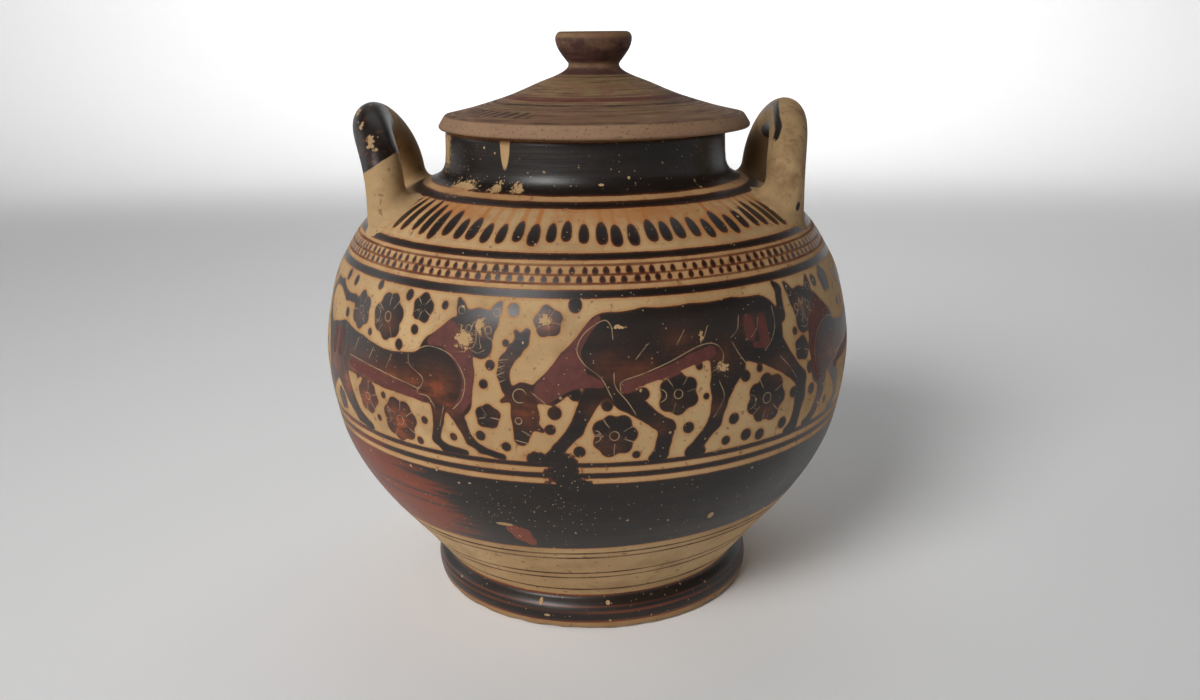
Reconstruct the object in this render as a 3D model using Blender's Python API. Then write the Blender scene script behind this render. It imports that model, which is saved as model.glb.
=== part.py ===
"""A lidded pyxis of fired clay: a globular vessel on a ring foot, with a low neck and two
upright handles on its shoulder, and a conical lid with a knob that rests on the neck.

Metres, +Z up. The origin is on the axis of the body, in the plane the foot stands on, and the
side that the photograph shows faces -Y.
"""

import bmesh
import bpy
import numpy as np
from mathutils import Vector

MM = 0.001

TURNED_STEPS = 56
OUTLINE_TOLERANCE = 0.2 * MM
LID_TOLERANCE = 0.12 * MM
CAVITY_TOLERANCE = 0.5 * MM

BODY_RADIUS = 100 * MM
BODY_HEIGHT = 151 * MM
WALL = 5 * MM

FOOT_RADIUS = 62 * MM
FOOT_HEIGHT = 13 * MM
FOOT_WIDTH = 11 * MM
FOOT_RECESS = 8 * MM
FOOT_NOTCH = 2.6 * MM
FOOT_OFF_CENTRE = 1.2 * MM
FLOOR = 8 * MM

NECK_RADIUS = 52.2 * MM
NECK_HEIGHT = 11.9 * MM
NECK_WALL = 4.6 * MM
NECK_FLARE = 0.5 * MM
LIP = 1.2 * MM

# The body's outer side. A station is a share of the body's height and a share of the way
# out: from the notch above the foot to the belly, and from the foot of the neck to the belly.
BELOW_BELLY = ((0, 0), (0.098, 0.283), (0.202, 0.591), (0.306, 0.82), (0.41, 0.943), (0.566, 1))
ABOVE_BELLY = ((0.722, 0.909), (0.802, 0.789), (0.861, 0.658), (0.908, 0.469))
SHOULDER_TO_NECK = ((0.943, 0.258), (0.962, 0.112), (0.9775, 0.032), (1, 0))

LID_GAP = 0.3 * MM
LID_OVERHANG = 5.7 * MM
LID_OFF_CENTRE = 3.4 * MM
LID_RIM = 5 * MM
LID_BEVEL = 2.6 * MM
LID_CEILING = 13 * MM
FLANGE_CLEARANCE = 0.7 * MM
FLANGE_WALL = 4 * MM
FLANGE_DEPTH = 5.5 * MM
CONE_HEIGHT = 16.8 * MM
KNOB_RADIUS = 14.1 * MM
KNOB_HEIGHT = 11.2 * MM
KNOB_DISH = 0.5 * MM
WAIST_RADIUS = 9.4 * MM
WAIST_HEIGHT = 1.2 * MM
EDGE = 0.8 * MM

HANDLE_HALF_SPAN = 29 * MM
HANDLE_RISE = 27.3 * MM
HANDLE_RADIAL = 6.9 * MM
HANDLE_TANGENTIAL = 7.6 * MM
HANDLE_FLARE = 5 * MM
FLARE_ENDS = 0.45
HANDLE_SPRING_SHARE = 0.914
HANDLE_ROOT_SHARE = 0.8
HANDLE_SIDES = 12
HANDLE_STEPS = 18
# Where the feet of each handle stand, as a share of the way from the neck out to the belly, how
# far its top leans further out, and its turn about the axis in degrees. They were set by hand,
# and differ a little.
HANDLES = {
    "left": (0.391, 7.8 * MM, 181.5),
    "right": (0.376, 4.6 * MM, 1.5),
}

CLAY = (0.55, 0.36, 0.17)
CLAY_ROUGHNESS = 0.7

RIM_HEIGHT = FOOT_HEIGHT + BODY_HEIGHT + NECK_HEIGHT
NECK_FOOT_RADIUS = NECK_RADIUS + NECK_FLARE
NOTCH_RADIUS = FOOT_RADIUS - FOOT_NOTCH
FOOT_ROUNDING = 0.46 * FOOT_HEIGHT
MOUTH_RADIUS = NECK_RADIUS - NECK_WALL
FLOOR_TOP = FOOT_RECESS + FLOOR
LID_RADIUS = NECK_RADIUS + LID_OVERHANG
FLANGE_RADIUS = MOUTH_RADIUS - LID_OFF_CENTRE - FLANGE_CLEARANCE


def clear_scene():
    for obj in list(bpy.data.objects):
        bpy.data.objects.remove(obj, do_unlink=True)


def clay_material(name, colour, roughness):
    material = bpy.data.materials.new(name)
    material.use_nodes = True
    shader = material.node_tree.nodes["Principled BSDF"]
    shader.inputs["Base Color"].default_value = (*colour, 1)
    shader.inputs["Roughness"].default_value = roughness
    return material


def smooth_curve(stations, steps):
    """Points of the Catmull-Rom curve through the stations, steps to each stretch."""
    points = np.array(stations, float)
    ends = 2 * points[[0, -1]] - points[[1, -2]]
    padded = np.vstack([ends[:1], points, ends[1:]])
    t = np.linspace(0, 1, steps, endpoint=False)[:, None]
    curve = []
    for a, b, c, d in zip(padded, padded[1:], padded[2:], padded[3:]):
        stretch = 2 * b + (c - a) * t + (2 * a - 5 * b + 4 * c - d) * t**2
        curve.append((stretch + (3 * b - a - 3 * c + d) * t**3) / 2)
    return np.vstack(curve + [points[-1:]])


def inward(curve, distance):
    """The curve moved to its inner side by the distance, along its own normals."""
    slope = np.gradient(curve, axis=0)
    normal = np.stack([-slope[:, 1], slope[:, 0]], axis=1)
    return curve + distance * normal / np.linalg.norm(normal, axis=1, keepdims=True)


def simplified(curve, tolerance):
    """The curve's fewest points that stay within the tolerance of it: it is cut at the point
    furthest from its chord, and each half is treated in the same way."""
    chord = curve[-1] - curve[0]
    offsets = curve - curve[0]
    away = np.abs(offsets[:, 0] * chord[1] - offsets[:, 1] * chord[0]) / np.linalg.norm(chord)
    cut = int(away.argmax())
    if away[cut] <= tolerance:
        return curve[[0, -1]]
    first = simplified(curve[: cut + 1], tolerance)
    return np.vstack([first[:-1], simplified(curve[cut:], tolerance)])


def arc(centre, radius, start, end, steps):
    angles = np.radians(np.linspace(start, end, steps))
    return [(centre[0] + radius * np.cos(a), centre[1] + radius * np.sin(a)) for a in angles]


def turned(name, outline, foot_lean=0.0):
    """A solid of revolution from an outline of (radius, height) that runs from the axis at
    the bottom, round the outer side, back to the axis at the top. foot_lean moves its lowest
    ring along X, and each ring above it by less, up to the foot's own height."""
    mesh = bpy.data.meshes.new(name)
    shape = bmesh.new()
    angles = 2 * np.pi * np.arange(TURNED_STEPS) / TURNED_STEPS
    rings = []
    for radius, height in outline:
        centre = foot_lean * min(1.0, max(0.0, 1 - height / FOOT_HEIGHT))
        if radius == 0:
            rings.append([shape.verts.new((centre, 0, height))])
            continue
        ring = []
        for angle in angles:
            x = centre + radius * np.cos(angle)
            ring.append(shape.verts.new((x, radius * np.sin(angle), height)))
        rings.append(ring)
    for lower, upper in zip(rings, rings[1:]):
        for i in range(TURNED_STEPS):
            j = (i + 1) % TURNED_STEPS
            corners = [lower[i % len(lower)], lower[j % len(lower)]]
            corners += [upper[j % len(upper)], upper[i % len(upper)]]
            shape.faces.new(list(dict.fromkeys(corners)))
    shape.to_mesh(mesh)
    shape.free()
    mesh.shade_smooth()
    mesh.set_sharp_from_angle(angle=np.radians(35))
    solid = bpy.data.objects.new(name, mesh)
    bpy.context.collection.objects.link(solid)
    return solid


def body_curve():
    """The outer side of the body as (radius, height)."""
    stations = [(NOTCH_RADIUS, *station) for station in BELOW_BELLY]
    upper = ABOVE_BELLY + SHOULDER_TO_NECK
    stations += [(NECK_FOOT_RADIUS, *station) for station in upper]
    return smooth_curve(
        [
            (near + (BODY_RADIUS - near) * bulge, FOOT_HEIGHT + BODY_HEIGHT * share)
            for near, share, bulge in stations
        ],
        8,
    )


def vessel_outline():
    """Foot, body and neck as one solid outer shape, with the recess under the foot."""
    inner = FOOT_RADIUS - FOOT_WIDTH
    outer = FOOT_RADIUS - 0.83 * FOOT_ROUNDING
    outline = [(0, FOOT_RECESS), (inner - FOOT_ROUNDING, FOOT_RECESS)]
    outline += [(inner - 0.25 * FOOT_ROUNDING, 0.7 * FOOT_RECESS), (inner, 0)]
    outline += [(FOOT_RADIUS - LIP, 0), (FOOT_RADIUS + 0.3 * LIP, 1.3 * LIP)]
    outline += arc((outer, FOOT_ROUNDING), FOOT_ROUNDING, -12, 62, 4)
    outline += [tuple(point) for point in simplified(body_curve(), OUTLINE_TOLERANCE)]
    outline += [(NECK_RADIUS, RIM_HEIGHT - LIP), (NECK_RADIUS - LIP, RIM_HEIGHT)]
    return outline + [(0, RIM_HEIGHT)]


def cavity_outline():
    """The hollow inside, open through the neck: the outer curve moved in by the wall."""
    inner = inward(body_curve(), WALL)
    above_floor = inner[:, 1] > FLOOR_TOP + WALL
    inner = inner[above_floor & (inner[:, 0] > MOUTH_RADIUS + CAVITY_TOLERANCE)]
    inner = simplified(inner, CAVITY_TOLERANCE)
    wide = inner[0, 0]
    outline = [(0, FLOOR_TOP), (0.6 * wide, FLOOR_TOP + 0.12 * WALL)]
    outline += [(0.86 * wide, FLOOR_TOP + 0.48 * WALL)]
    outline += [tuple(point) for point in inner]
    outline += [(MOUTH_RADIUS, RIM_HEIGHT + WALL), (0, RIM_HEIGHT + WALL)]
    return outline


def handle(name, seat, lean, azimuth):
    """An upright loop whose legs stand side by side on the shoulder. The centre line is half
    of an ellipse on straight roots, in a plane that leans out. The legs widen below, along
    the shoulder and towards the neck, and their outer sides run straight down into it."""
    turn = np.radians(azimuth)
    out = np.array([np.cos(turn), np.sin(turn), 0])
    along = np.array([-np.sin(turn), np.cos(turn), 0])
    spring = FOOT_HEIGHT + HANDLE_SPRING_SHARE * BODY_HEIGHT
    root = FOOT_HEIGHT + HANDLE_ROOT_SHARE * BODY_HEIGHT
    angles = np.linspace(0, np.pi, HANDLE_STEPS)
    side = HANDLE_HALF_SPAN * np.cos(angles)
    height = spring + HANDLE_RISE * np.sin(angles)
    side = np.concatenate([side[:1], side, side[-1:]])
    height = np.concatenate([[root], height, [root]])
    rise = (height - spring) / HANDLE_RISE
    feet = NECK_FOOT_RADIUS + seat * (BODY_RADIUS - NECK_FOOT_RADIUS)
    centres = np.outer(feet + lean * np.maximum(rise, 0) ** 2.4, out)
    centres += np.outer(side, along) + np.outer(height, [0, 0, 1])
    tangents = np.gradient(centres, axis=0)
    tangents /= np.linalg.norm(tangents, axis=1, keepdims=True)
    shape = bmesh.new()
    rings = []
    for centre, tangent, up in zip(centres, tangents, rise):
        radial = out - tangent * (out @ tangent)
        radial /= np.linalg.norm(radial)
        across = np.cross(tangent, radial)
        flare = HANDLE_FLARE * max(0.0, 1 - up / FLARE_ENDS) ** 2
        ring = []
        for angle in 2 * np.pi * np.arange(HANDLE_SIDES) / HANDLE_SIDES:
            inner_side = np.cos(angle) < 0
            point = centre + radial * (HANDLE_RADIAL + flare * inner_side) * np.cos(angle)
            point = point + across * (HANDLE_TANGENTIAL + flare) * np.sin(angle)
            ring.append(shape.verts.new(Vector(point)))
        rings.append(ring)
    for first, second in zip(rings, rings[1:]):
        for i in range(HANDLE_SIDES):
            j = (i + 1) % HANDLE_SIDES
            shape.faces.new([first[i], first[j], second[j], second[i]])
    shape.faces.new(rings[0])
    shape.faces.new(rings[-1])
    bmesh.ops.recalc_face_normals(shape, faces=shape.faces)
    mesh = bpy.data.meshes.new(name)
    shape.to_mesh(mesh)
    shape.free()
    mesh.shade_smooth()
    solid = bpy.data.objects.new(name, mesh)
    bpy.context.collection.objects.link(solid)
    return solid


def boolean(target, tool, operation):
    tool.hide_render = True
    tool.display_type = "WIRE"
    modifier = target.modifiers.new(f"{operation.lower()} {tool.name}", "BOOLEAN")
    modifier.operation = operation
    modifier.solver = "EXACT"
    modifier.object = tool


def lid_cone():
    """The lid's top side from the rim's upper edge to the knob's waist, as (radius, height).
    Its slope is even, and eases into the waist."""
    edge = LID_RADIUS - LID_BEVEL
    shares = ((0, 0), (0.214, 0.131), (0.511, 0.387), (0.757, 0.661), (0.887, 0.798))
    shares += ((0.974, 0.917), (1, 1))
    points = [
        (edge + (WAIST_RADIUS - edge) * inwards, LID_RIM + CONE_HEIGHT * up)
        for inwards, up in shares
    ]
    return smooth_curve(points, 6)


def knob_side():
    """The knob's side, which flares from its waist to its widest and turns in at the top."""
    foot = LID_RIM + CONE_HEIGHT + WAIST_HEIGHT
    shares = ((0, 0), (0.383, 0.196), (0.809, 0.464), (1, 0.732), (0.936, 0.893))
    points = [
        (WAIST_RADIUS + (KNOB_RADIUS - WAIST_RADIUS) * out, foot + KNOB_HEIGHT * up)
        for out, up in shares
    ]
    return smooth_curve(points, 6)


def lid_outline():
    """The lid from its underside to the knob, as (radius, height above the rim's seat)."""
    top = LID_RIM + CONE_HEIGHT + WAIST_HEIGHT + KNOB_HEIGHT
    inner = FLANGE_RADIUS - FLANGE_WALL
    outline = [(0, LID_CEILING), (0.2 * inner, 0.97 * LID_CEILING)]
    outline += [(0.5 * inner, 0.76 * LID_CEILING), (0.96 * inner, 0.23 * LID_CEILING)]
    outline += [(inner, 0.12 * LID_CEILING), (inner, EDGE - FLANGE_DEPTH)]
    outline += [(inner + EDGE, -FLANGE_DEPTH), (FLANGE_RADIUS - EDGE, -FLANGE_DEPTH)]
    outline += [(FLANGE_RADIUS, EDGE - FLANGE_DEPTH), (FLANGE_RADIUS + 0.25 * EDGE, 0)]
    outline += [(LID_RADIUS - EDGE, 0), (LID_RADIUS, EDGE)]
    outline += [(LID_RADIUS - 0.25 * EDGE, 0.44 * LID_RIM)]
    outline += [(LID_RADIUS - 1.25 * EDGE, 0.76 * LID_RIM)]
    outline += [tuple(point) for point in simplified(lid_cone(), LID_TOLERANCE)]
    outline += [tuple(point) for point in simplified(knob_side(), LID_TOLERANCE)]
    outline += [(KNOB_RADIUS - 2 * EDGE, top), (0, top - KNOB_DISH)]
    return outline


def make_vessel():
    vessel = turned("vessel", vessel_outline(), FOOT_OFF_CENTRE)
    for side, placing in HANDLES.items():
        boolean(vessel, handle(f"{side}_handle", *placing), "UNION")
    boolean(vessel, turned("cavity", cavity_outline()), "DIFFERENCE")
    vessel.data.materials.append(clay_material("vessel_clay", CLAY, CLAY_ROUGHNESS))


def make_lid():
    lid = turned("lid", lid_outline())
    lid.location = (LID_OFF_CENTRE, 0, RIM_HEIGHT + LID_GAP)
    lid.data.materials.append(clay_material("lid_clay", CLAY, CLAY_ROUGHNESS))


clear_scene()
make_vessel()
make_lid()
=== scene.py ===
"""A black-figure pyxis of fired clay: a round vessel painted with a frieze of grazing goats and
panthers, with two upright handles and a conical lid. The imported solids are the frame."""

import bpy
import numpy as np
from mathutils import Euler, Matrix, Vector


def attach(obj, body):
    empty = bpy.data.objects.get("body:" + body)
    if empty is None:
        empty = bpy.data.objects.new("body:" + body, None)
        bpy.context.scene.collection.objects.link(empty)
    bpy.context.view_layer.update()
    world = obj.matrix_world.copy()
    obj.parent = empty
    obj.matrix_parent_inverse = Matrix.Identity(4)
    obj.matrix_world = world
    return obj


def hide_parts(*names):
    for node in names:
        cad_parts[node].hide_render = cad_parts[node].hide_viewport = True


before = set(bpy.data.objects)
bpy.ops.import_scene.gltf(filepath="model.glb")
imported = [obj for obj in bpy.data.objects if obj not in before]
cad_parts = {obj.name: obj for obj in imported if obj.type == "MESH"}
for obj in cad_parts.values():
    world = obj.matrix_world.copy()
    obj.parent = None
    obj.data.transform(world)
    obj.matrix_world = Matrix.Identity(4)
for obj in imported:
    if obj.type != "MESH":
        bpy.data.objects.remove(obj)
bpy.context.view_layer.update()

# The studio: the photograph's own viewpoint, a pale round floor whose edge sweeps up all round,
# and soft lamps. A broad one stands at the front left, a tall one at the left gives the grey
# sheen there, a weak one answers it at the right, and two light the floor and the back wall.
VIEW_PLACE = (0.0047, -0.4198, 0.2115)
VIEW_TILT = (90 - 16.32, 0, 0)
VIEW_ROLL = -0.54
VIEW_LENS = 33
SWEEP_FLAT = 1.3
SWEEP_RADIUS = 1.1
SWEEP_TURNS = 96
PAPER_GLOW = 0.24
GLOW_START = 0.7
GLOW_FULL = 1.9
# Each lamp is its name, place, the point it faces, width, height, power and how wide in
# degrees its light spreads.
LAMPS = (
    ("front", (-0.76, -1.12, 0.95), (0, 0, 0.1), 0.7, 0.7, 2.0, 50),
    ("left_edge", (-1.0, 0.25, 0.35), (0, 0, 0.1), 0.3, 0.7, 1.0, 180),
    ("right_edge", (1.0, 0.25, 0.25), (0, 0, 0.1), 0.3, 0.5, 0.05, 180),
    ("top", (0, 0.9, 1.5), (0, 0.8, 0), 1.6, 0.8, 2.6, 100),
    ("backdrop", (0, 0.9, 1.3), (0, 2.4, 0.4), 1.6, 0.4, 11, 120),
)

scene = bpy.context.scene
scene.view_settings.view_transform = "Standard"
camera = bpy.data.objects.new("camera", bpy.data.cameras.new("camera"))
scene.collection.objects.link(camera)
camera.data.lens = VIEW_LENS
camera.data.sensor_width = 36
camera.data.clip_start = 0.01
tilt = Euler([np.radians(angle) for angle in VIEW_TILT]).to_matrix().to_4x4()
roll = Matrix.Rotation(np.radians(VIEW_ROLL), 4, "Z")
camera.matrix_world = Matrix.Translation(VIEW_PLACE) @ tilt @ roll
scene.camera = camera

for name, place, target, width, height, power, spread in LAMPS:
    light = bpy.data.lights.new(name, "AREA")
    light.shape = "RECTANGLE"
    light.size = width
    light.size_y = height
    light.energy = power
    light.spread = np.radians(spread)
    lamp = bpy.data.objects.new(name, light)
    lamp.location = place
    facing = Vector(target) - Vector(place)
    lamp.rotation_euler = facing.to_track_quat("-Z", "Y").to_euler()
    lamp.visible_camera = False
    scene.collection.objects.link(lamp)

world = bpy.data.worlds.new("studio")
world.use_nodes = True
world.node_tree.nodes["Background"].inputs["Color"].default_value = (1, 1, 1, 1)
world.node_tree.nodes["Background"].inputs["Strength"].default_value = 0.01
scene.world = world


def stitched(angles, firsts):
    """Triangles between neighbouring rings. Each ring is given by its sorted angles and the
    number of its first vertex. Every edge of one ring takes as its third corner the vertex
    that the walk along the other ring has reached by then, so rings of any two counts join."""
    triangles = []
    for a, b, first_a, first_b in zip(angles, angles[1:], firsts, firsts[1:]):
        ends_a = np.append(a[1:], np.pi)
        ends_b = np.append(b[1:], np.pi)
        if len(a) > 1:
            edge = np.arange(len(a))
            third = np.searchsorted(ends_b, ends_a, side="left") % len(b)
            corners = [first_a + edge, first_a + (edge + 1) % len(a), first_b + third]
            triangles.append(np.stack(corners, axis=1))
        if len(b) > 1:
            edge = np.arange(len(b))
            third = np.searchsorted(ends_a, ends_b, side="right") % len(a)
            corners = [first_b + (edge + 1) % len(b), first_b + edge, first_a + third]
            triangles.append(np.stack(corners, axis=1))
    return np.vstack(triangles)


def thrown(name, angles, radii, heights, centre=0.0):
    """A surface thrown on the wheel: ring k has the angles, radius and height of its place in
    the lists, and a point stands at (radius * sin, -radius * cos, height) of its angle,
    measured from the front towards the right. centre moves each ring along X."""
    counts = [len(ring) for ring in angles]
    turn = np.concatenate(angles)
    radius = np.repeat(radii, counts)
    x = np.repeat(np.broadcast_to(centre, len(counts)), counts) + radius * np.sin(turn)
    points = np.stack([x, -radius * np.cos(turn), np.repeat(heights, counts)], axis=1)
    triangles = stitched(angles, np.concatenate([[0], np.cumsum(counts)[:-1]]))
    return finished(name, points, triangles), turn


def finished(name, points, faces):
    """A smooth object from numpy points and faces."""
    mesh = bpy.data.meshes.new(name)
    mesh.from_pydata(points, [], faces.tolist())
    mesh.shade_smooth()
    piece = bpy.data.objects.new(name, mesh)
    scene.collection.objects.link(piece)
    return piece


def full_turn(count):
    return np.linspace(-np.pi, np.pi, count, endpoint=False)


class Tint:
    """A socket in a material's nodes. Sums on it add Math nodes, so that 1 - mask works."""

    def __init__(self, tree, socket):
        self.tree = tree
        self.socket = socket

    def node(self, kind, settings=None, inputs=None, output=0):
        """One of the outputs of a new node of this kind. Its settings are made first, and
        then its inputs, by name or number, are given a value or linked to a Tint."""
        made = self.tree.nodes.new(kind)
        for setting, value in (settings or {}).items():
            setattr(made, setting, value)
        for slot, value in (inputs or {}).items():
            if isinstance(value, Tint):
                self.tree.links.new(value.socket, made.inputs[slot])
            else:
                made.inputs[slot].default_value = value
        return Tint(self.tree, made.outputs[output])

    def maths(self, operation, *values):
        return self.node("ShaderNodeMath", {"operation": operation}, dict(enumerate(values)))

    def __add__(self, other):
        return self.maths("ADD", self, other)

    def __sub__(self, other):
        return self.maths("SUBTRACT", self, other)

    def __mul__(self, other):
        return self.maths("MULTIPLY", self, other)

    def __truediv__(self, other):
        return self.maths("DIVIDE", self, other)

    def __radd__(self, other):
        return self.maths("ADD", other, self)

    def __rsub__(self, other):
        return self.maths("SUBTRACT", other, self)

    def __rmul__(self, other):
        return self.maths("MULTIPLY", other, self)

    def __abs__(self):
        return self.maths("ABSOLUTE", self)

    def least(self, other):
        return self.maths("MINIMUM", self, other)

    def most(self, other):
        return self.maths("MAXIMUM", self, other)

    def step(self, start, end):
        """0 at start and beyond, 1 at end and beyond, with an eased run between them."""
        settings = {"interpolation_type": "SMOOTHSTEP"}
        turned = start > end
        low, high = (end, start) if turned else (start, end)
        ends = {"Value": self, "From Min": low, "From Max": high}
        ends |= {"To Min": float(turned), "To Max": float(not turned)}
        return self.node("ShaderNodeMapRange", settings, ends)

    def drawn_round(self, share):
        """The place squeezed level, so that noise read there runs in streaks round the pot."""
        scale = {"operation": "MULTIPLY"}
        return self.node("ShaderNodeVectorMath", scale, {0: self, 1: (share, share, 1)})

    def noise(self, size, detail=2.0, rough=0.5, warp=0.0):
        """Soft noise from 0 to 1 whose patches are about this many millimetres across."""
        inputs = {"Vector": self, "Scale": 1000 / size, "Detail": detail, "Roughness": rough}
        return self.node("ShaderNodeTexNoise", None, inputs | {"Distortion": warp})

    def between(self, first, second):
        """The first colour where this mask is 0, the second where it is 1."""
        settings = {"data_type": "RGBA"}
        return self.node("ShaderNodeMix", settings, {0: self, 6: first, 7: second}, output=2)

    def sibling(self, output):
        return Tint(self.tree, self.socket.node.outputs[output])

    def painted(self, name):
        """What the mesh's vertices carry under this name."""
        return self.node("ShaderNodeAttribute", {"attribute_name": name}, output=2)

    def parts(self):
        """The three numbers of a vector."""
        return [self.node("ShaderNodeSeparateXYZ", None, {0: self}, axis) for axis in range(3)]

    def chances(self):
        """Three random numbers from 0 to 1 that belong to this whole number."""
        noise = self.node("ShaderNodeTexWhiteNoise", {"noise_dimensions": "1D"}, {"W": self}, 1)
        return [self.node("ShaderNodeSeparateColor", None, {0: noise}, k) for k in range(3)]

    def bumped(self):
        """The surface's direction under a relief that is given in millimetres."""
        return self.node("ShaderNodeBump", None, {"Height": self, "Distance": MM})


def colour_of(red, green, blue):
    """A Blender colour from sRGB numbers out of 255."""
    tone = np.array([red, green, blue]) / 255
    linear = np.where(tone < 0.04045, tone / 12.92, ((tone + 0.055) / 1.055) ** 2.4)
    return (*linear.tolist(), 1.0)


def plain_material(name, roughness):
    """A new material, its shader, and its Object coordinates as a Tint."""
    material = bpy.data.materials.new(name)
    material.use_nodes = True
    tree = material.node_tree
    shader = tree.nodes["Principled BSDF"]
    shader.inputs["Roughness"].default_value = roughness
    shader.inputs["Specular IOR Level"].default_value = 0.35
    coordinates = tree.nodes.new("ShaderNodeTexCoord")
    return material, shader, Tint(tree, coordinates.outputs["Object"])


def wire(tint, socket):
    tint.tree.links.new(tint.socket, socket)


# The paper of the floor and walls, which glows a little far from the pot.
bend = np.linspace(-np.pi / 2, 0, 24)
sweep_radii = np.concatenate([[0, 0.4, 0.9], SWEEP_FLAT + SWEEP_RADIUS * np.cos(bend)])
sweep_heights = np.concatenate([[0, 0, 0], SWEEP_RADIUS * (1 + np.sin(bend))])
sweep_angles = [full_turn(1)] + [full_turn(SWEEP_TURNS)] * (len(sweep_radii) - 1)
sweep, _ = thrown("sweep", sweep_angles, sweep_radii, sweep_heights)
sweep.data.flip_normals()
material, shader, place = plain_material("pale_paper", 0.9)
shader.inputs["Base Color"].default_value = (0.93, 0.93, 0.93, 1)
far_off = place.node("ShaderNodeVectorMath", {"operation": "LENGTH"}, {0: place}, 1)
shader.inputs["Emission Strength"].default_value = PAPER_GLOW
wire(far_off.step(GLOW_START, GLOW_FULL), shader.inputs["Emission Color"])
sweep.data.materials.append(material)

# The vessel: one wall of buff clay thrown on the wheel, with a ring foot that was turned
# afterwards. Its paint is a fine clay slip that fired black, with lines cut through it with a
# point, and patches of matt red laid over it. Sizes of the pot are in millimetres.
MM = 0.001
FOOT_RECESS = 8.0
FOOT_HEIGHT = 13.0
FOOT_OFF_CENTRE = 1.2
FLOOR_TOP = 16.0
WALL = 5.0
NECK_INSIDE = 48.1
BODY_STATIONS = (
    (59.4, 13.0), (70.9, 27.8), (83.4, 43.5), (92.7, 59.2), (97.7, 74.9), (100.0, 98.5),
    (95.7, 122.0), (90.0, 134.1), (83.8, 143.0), (74.9, 150.1), (64.9, 155.4), (58.0, 158.3),
    (54.2, 160.6), (52.7, 164.0),
)
FRIEZE_FOOT = 80.2
FRIEZE_TOP = 132.2
FRIEZE_STEP = 0.6
FRIEZE_ROWS = 84
FRONT_HALF_ANGLE = np.radians(82)
FRONT_COLUMNS = 520
BACK_COLUMNS = 220
PLAIN_COLUMNS = 208
CHIP_DEPTH = 0.9
CHIP_LIFT = 0.6
CHIPS_ROUND = 90
CHIP_HEIGHT = 1.6
FOOT_RADIUS = 60.0


def smooth_curve(stations, steps):
    """Points of the Catmull-Rom curve through the stations, steps to each stretch."""
    points = np.array(stations, float)
    ends = 2 * points[[0, -1]] - points[[1, -2]]
    padded = np.vstack([ends[:1], points, ends[1:]])
    t = np.linspace(0, 1, steps, endpoint=False)[:, None]
    curve = []
    for a, b, c, d in zip(padded, padded[1:], padded[2:], padded[3:]):
        stretch = 2 * b + (c - a) * t + (2 * a - 5 * b + 4 * c - d) * t**2
        curve.append((stretch + (3 * b - a - 3 * c + d) * t**3) / 2)
    return np.vstack(curve + [points[-1:]])


def evened(curve, spacing):
    """The curve with its points spread evenly, about the spacing apart."""
    length = np.append(0, np.cumsum(np.hypot(*np.diff(curve, axis=0).T)))
    along = np.linspace(0, length[-1], max(2, int(np.ceil(length[-1] / spacing)) + 1))
    return np.stack([np.interp(along, length, curve[:, k]) for k in (0, 1)], axis=1)


body = smooth_curve(BODY_STATIONS, 40)
slope = np.gradient(body, axis=0)
lining = body + WALL * np.stack([-slope[:, 1], slope[:, 0]], 1) / np.linalg.norm(
    slope, axis=1, keepdims=True
)
lining = lining[(lining[:, 1] > FLOOR_TOP + WALL) & (lining[:, 0] > NECK_INSIDE)]
below = body[body[:, 1] < FRIEZE_FOOT - FRIEZE_STEP]
above = body[body[:, 1] > FRIEZE_TOP + FRIEZE_STEP]
frieze_heights = np.linspace(FRIEZE_FOOT, FRIEZE_TOP, FRIEZE_ROWS)
frieze_radii = np.interp(frieze_heights, body[:, 1], body[:, 0])
foot = smooth_curve(
    (
        (45.0, 8.0), (49.5, 5.6), (50.7, 1.4), (51.6, 0.2), (53.5, 0.0), (60.4, 0.0),
        (61.8, 0.5), (62.4, 1.6), (62.9, 4.8), (62.8, 7.3), (61.9, 9.6), (60.1, 11.3),
        (59.2, 12.2), (59.4, 13.0),
    ),
    6,
)
neck = smooth_curve(
    (
        (52.7, 164.0), (52.4, 168.0), (52.2, 174.4), (51.9, 175.4), (51.0, 175.9), (48.8, 175.9),
        (47.9, 175.4), (47.6, 174.4), (47.6, 168.0), (48.1, 163.0),
    ),
    6,
)
low = np.vstack([evened(foot, 1.1), evened(below, 3.0)[1:]])
high = np.vstack([evened(above, 2.2), evened(neck, 1.0)[1:-1]])
bottom = evened(np.vstack([lining[::-1], [(34, 18.4), (20, 16.6), (0, FLOOR_TOP)]]), 5.0)
underside = np.array([(0, FOOT_RECESS), (15, FOOT_RECESS), (32, FOOT_RECESS), (42, FOOT_RECESS)])
frieze = np.stack([frieze_radii, frieze_heights], axis=1)
profile = np.vstack([underside, low, frieze, high, bottom])
front_angles = np.linspace(-FRONT_HALF_ANGLE, FRONT_HALF_ANGLE, FRONT_COLUMNS, endpoint=False)
back_angles = np.linspace(
    FRONT_HALF_ANGLE, 2 * np.pi - FRONT_HALF_ANGLE, BACK_COLUMNS, endpoint=False
)
fine_angles = np.sort(np.concatenate([front_angles, (back_angles + np.pi) % (2 * np.pi) - np.pi]))
fine_angles = np.append(-np.pi, fine_angles[fine_angles > -np.pi + 0.004])
rings = [full_turn(PLAIN_COLUMNS)] * len(profile)
start = len(underside) + len(low)
rings[start : start + FRIEZE_ROWS] = [fine_angles] * FRIEZE_ROWS
rings[0] = rings[-1] = full_turn(1)
foot_shift = FOOT_OFF_CENTRE * np.clip(1 - profile[:, 1] / FOOT_HEIGHT, 0, 1)
foot_shift[start:] = 0
vessel, turn = thrown(
    "painted_vessel", rings, profile[:, 0] * MM, profile[:, 1] * MM, foot_shift * MM
)

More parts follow.
